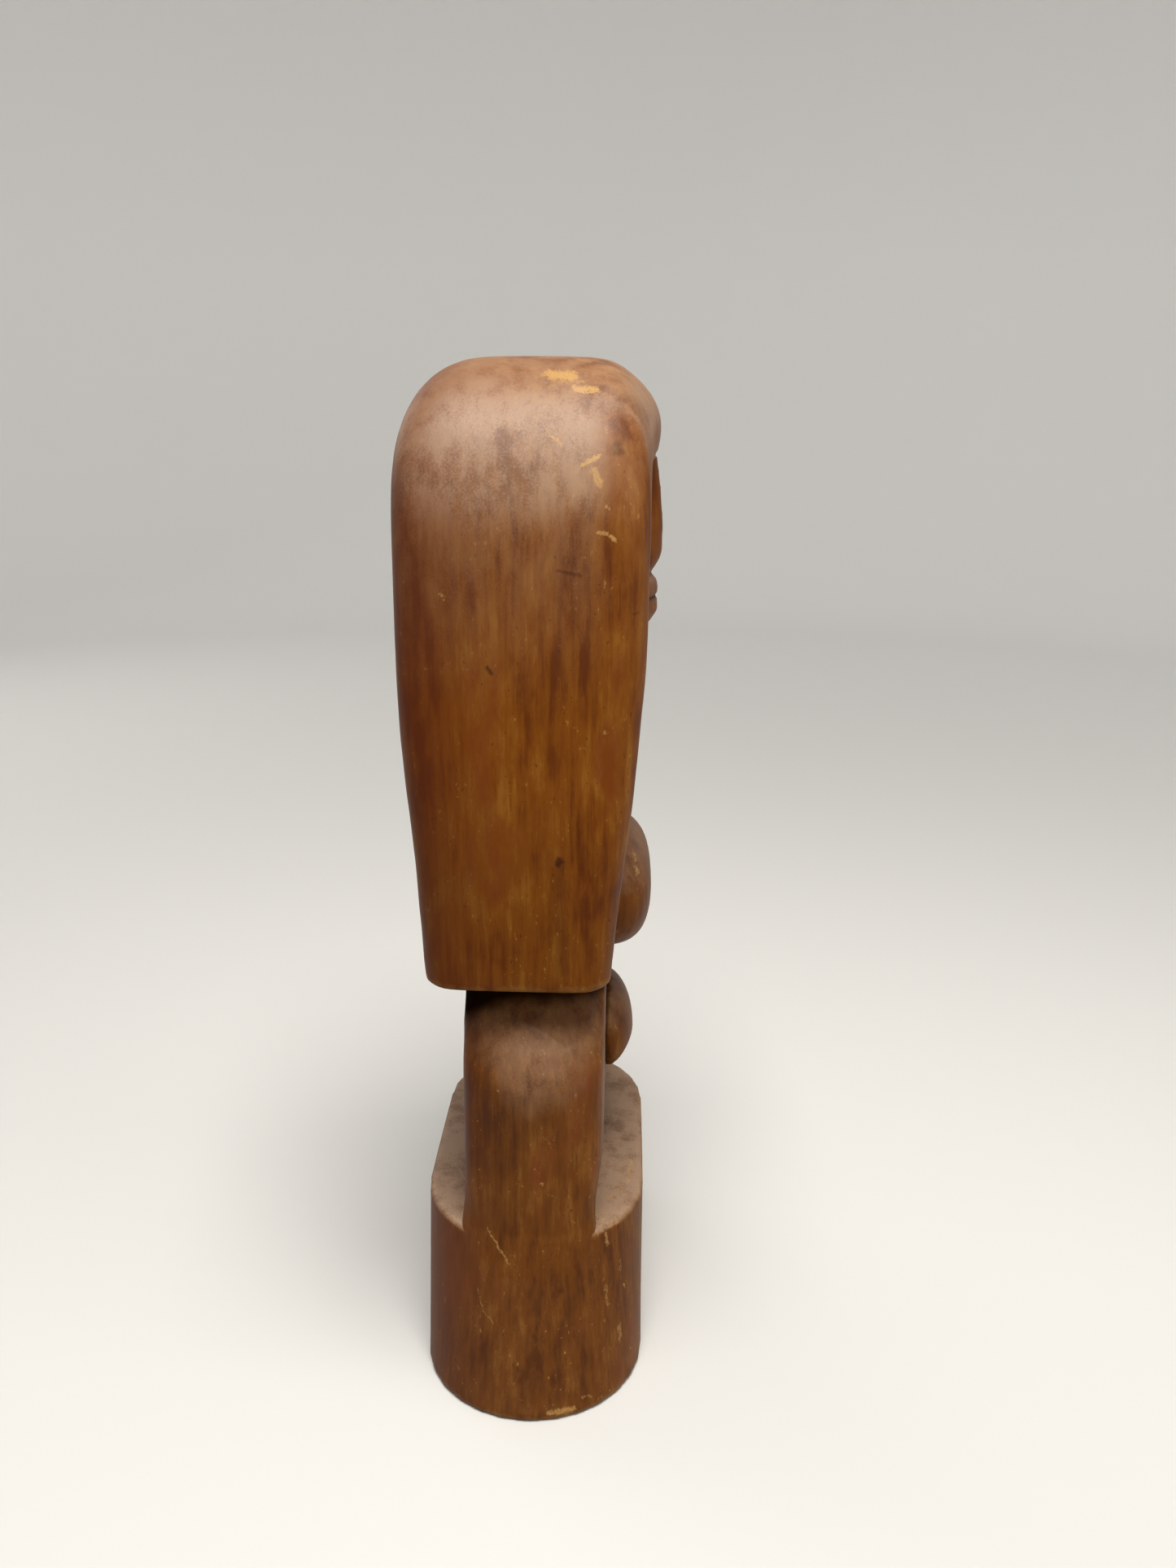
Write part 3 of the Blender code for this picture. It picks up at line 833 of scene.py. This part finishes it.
# Fine cuts on either half of the face: ends (across, up), half width and depth, in mm.
FACE_CUTS = (
    ((0, 266.3), (13, 266.5), 1.2, 0.6),
    ((13, 266.5), (17, 267.8), 1.2, 0.8),
    ((12, 297.0), (16, 295.2), 1.1, 0.8),
    ((16, 295.2), (24, 294.8), 1.1, 1.0),
    ((24, 294.8), (29.5, 297.0), 1.1, 0.8),
    ((12.5, 299.8), (20, 302.4), 0.9, 0.5),
    ((20, 302.4), (28.5, 300.0), 0.9, 0.5),
    ((9.0, 276.5), (10.0, 280.5), 1.2, 0.8),
)
# Only what lies in front of this depth is cut.
FACE_FRONT = -0.022


def make_face(material):
    """The face, with the mouth, the eyelids and the nostrils cut in and painted shade in the cuts.
    """
    surface = Surface("face_panel", 0.75 * MM)
    surface.soften(3, 1)
    hand_carved(surface, 53, 0.08 * MM, 0.05 * MM)
    co = surface.co
    cuts = grooves(np.abs(co[:, (0, 2)]), FACE_CUTS) * (co[:, 1] < FACE_FRONT)
    co[:, 1] += cuts
    standard_marks(surface, painted_shade=0.75 * ramp(cuts, 0.1 * MM, 0.7 * MM), upward_sheen_and_dust=0.4)
    surface.finish("face_carved", material)


# Where the bosses' flat backs lie, close to the trunk's front.
BOSS_ROOT = -0.0243
# The belly's lower facet: its height at a depth y (mm), and its rise for each mm outwards.
BELLY_FACET_DEPTH, BELLY_FACET_HEIGHT = -27.1, 101.6
BELLY_FACET_RISE = 1.227


def cut_belly_facet(surface):
    """Cuts the belly's underside to one sloping facet, in front of the boss's root."""
    co = surface.co
    facet = (BELLY_FACET_HEIGHT + BELLY_FACET_RISE * (BELLY_FACET_DEPTH - co[:, 1] / MM)) * MM
    front = ramp(-co[:, 1], -BOSS_ROOT, 0.5 * MM - BOSS_ROOT)
    co[:, 2] += front * np.maximum(facet - co[:, 2], 0)
    surface.relax(2)


def make_boss(node, material, seed):
    """The belly or the chest, with a rim that sinks into the trunk's front and painted shade on it.
    """
    surface = Surface(node, 0.8 * MM)
    surface.soften(5, 2)
    low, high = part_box(node)
    co = surface.co
    middle = np.array(((low.x + high.x) / 2, (low.z + high.z) / 2))
    away = np.sqrt(((co[:, (0, 2)] - middle) ** 2).sum(axis=1))
    rim = ramp(co[:, 1], BOSS_ROOT - 0.7 * MM, BOSS_ROOT) * ramp(away, 6.5 * MM, 8.0 * MM)
    if node == "belly":
        cut_belly_facet(surface)
    surface.co[:, 1] += 1.2 * MM * rim
    hand_carved(surface, seed, 0.12 * MM, 0.08 * MM)
    standard_marks(surface, painted_shade=0.85 * rim, upward_sheen_and_dust=0.4)
    surface.finish(f"{node}_carved", material)


def make_peg(node, material):
    """A turned peg of pale wood, hidden inside the joint."""
    surface = Surface(node, 0.7 * MM)
    surface.soften(2, 1)
    standard_marks(surface)
    surface.finish(f"{node}_turned", material)


# Deep, middle and light tones (0 to 255).
MANTLE_TONES = ((82, 36, 0), (108, 58, 3), (126, 80, 20))
FOOT_TONES = ((70, 33, 2), (93, 51, 6), (114, 72, 24))
TORSO_TONES = ((68, 30, 1), (91, 48, 4), (109, 68, 18))
FACE_TONES = ((74, 31, 1), (98, 50, 4), (116, 70, 18))
PEG_TONES = ((150, 100, 56), (178, 130, 82), (200, 156, 106))

# More strokes on the right side: ends and half width in mm, and strength.
LEG_RUBBED = (
    ((-65, -6.4, 79), (-65, -9.0, 78), 0.7, 0.30),
    ((-65, -4.2, 83.6), (-65, -4.4, 83), 0.6, 0.5),
    ((-65, -15.5, 88), (-65, -18.2, 89.5), 0.4, 0.35),
    ((-63, -7.5, 104), (-63.4, -8.0, 96), 0.5, 0.25),
    ((-64.5, -17, 70), (-64.5, -20.5, 68), 0.5, 0.5),
    ((-65.5, -14.5, 66), (-65, -19.0, 66.5), 0.5, 0.4),
    ((-63, 13.9, 64.8), (-66.8, 7.0, 54), 0.4, 0.5),
)
CHEST_RUBBED = (
    ((-20.5, -32.4, 182), (-22, -33, 180.6), 0.6, 0.45),
    ((-26.3, -33.0, 179.2), (-26.6, -33.8, 177.2), 0.7, 0.5),
    ((-26.3, -36.1, 173.6), (-26.3, -36.2, 172.6), 0.5, 0.35),
)
PLINTH_RUBBED = (
    ((-18.4, -33.8, 62), (-30.6, -32.2, 62), 0.7, 0.5),
    ((-34.6, -30.4, 62), (-40.5, -25.6, 62), 0.8, 0.35),
    ((-50, -22, 62), (-53, -24, 62), 0.6, 0.4),
    ((-63, 13.9, 64.5), (-64.5, 12.2, 58.5), 0.4, 0.55),
    ((-64.5, 12.2, 58.5), (-67.2, 6.3, 53.5), 0.45, 0.6),
    ((-65.4, 17.5, 43), (-67.6, 15.0, 35), 0.3, 0.4),
    ((-67.6, 15.0, 35), (-69, 11.5, 32.5), 0.35, 0.4),
    ((-60, -25, 41), (-60, -26, 34), 0.6, 0.45),
    ((-58, -30, 24), (-58.6, -30.6, 18), 0.6, 0.45),
    ((-57, -25, 60), (-57.4, -26, 55.5), 0.6, 0.5),
    ((-55, -30, 47), (-55.6, -30.8, 40), 0.5, 0.45),
    ((-60, -22.5, 61.2), (-53.5, -29, 61.2), 0.5, 0.45),
    ((-58, 24.5, 61.2), (-50, 31.5, 61.2), 0.5, 0.35),
    ((-76, -7.5, 3.2), (-74.4, -15, 3.0), 1.1, 0.6),
    ((-73, -18.5, 6), (-71, -21, 5), 0.7, 0.45),
    ((-76.8, 3.0, 8), (-76.8, 1.6, 7.4), 0.4, 0.4),
)
PLINTH_DARK = (
    ((-70, -2.0, 30), (-70.4, -2.6, 28.6), 0.8, 0.5),
    ((-72, 4.0, 19), (-72, 3.6, 17.6), 0.6, 0.5),
    ((-68, -10.5, 45), (-68, -11.0, 44.2), 0.6, 0.4),
)


def main():
    make_camera()
    make_stage()
    make_light()
    mantle_wood = wood(
        "mantle_wood", MANTLE_TONES, 0.0, dust_and_sheen=0.62, rubbed=MANTLE_RUBBED, dark=MANTLE_DARK
    )
    leg_wood = wood("leg_wood", FOOT_TONES, 5.0, flecks=0.6, rubbed=LEG_RUBBED)
    plinth_wood = wood("plinth_wood", FOOT_TONES, 5.0, 0.5, 0.85, 0.8, PLINTH_RUBBED, PLINTH_DARK)
    torso_wood = wood("torso_wood", TORSO_TONES, 14.0, rubbed=CHEST_RUBBED)
    face_wood = wood("face_wood", FACE_TONES, 19.0)
    peg_wood = wood("peg_wood", PEG_TONES, 23.0, rough=0.6)
    make_mantle(mantle_wood)
    make_leg("leg_right", -1, leg_wood)
    make_leg("leg_left", 1, leg_wood)
    make_base(plinth_wood)
    make_torso(torso_wood)
    make_face(face_wood)
    for seed, node in enumerate(("belly", "chest")):
        make_boss(node, torso_wood, 61 + seed)
    for node in ("peg_lower", "peg_upper"):
        make_peg(node, peg_wood)


main()
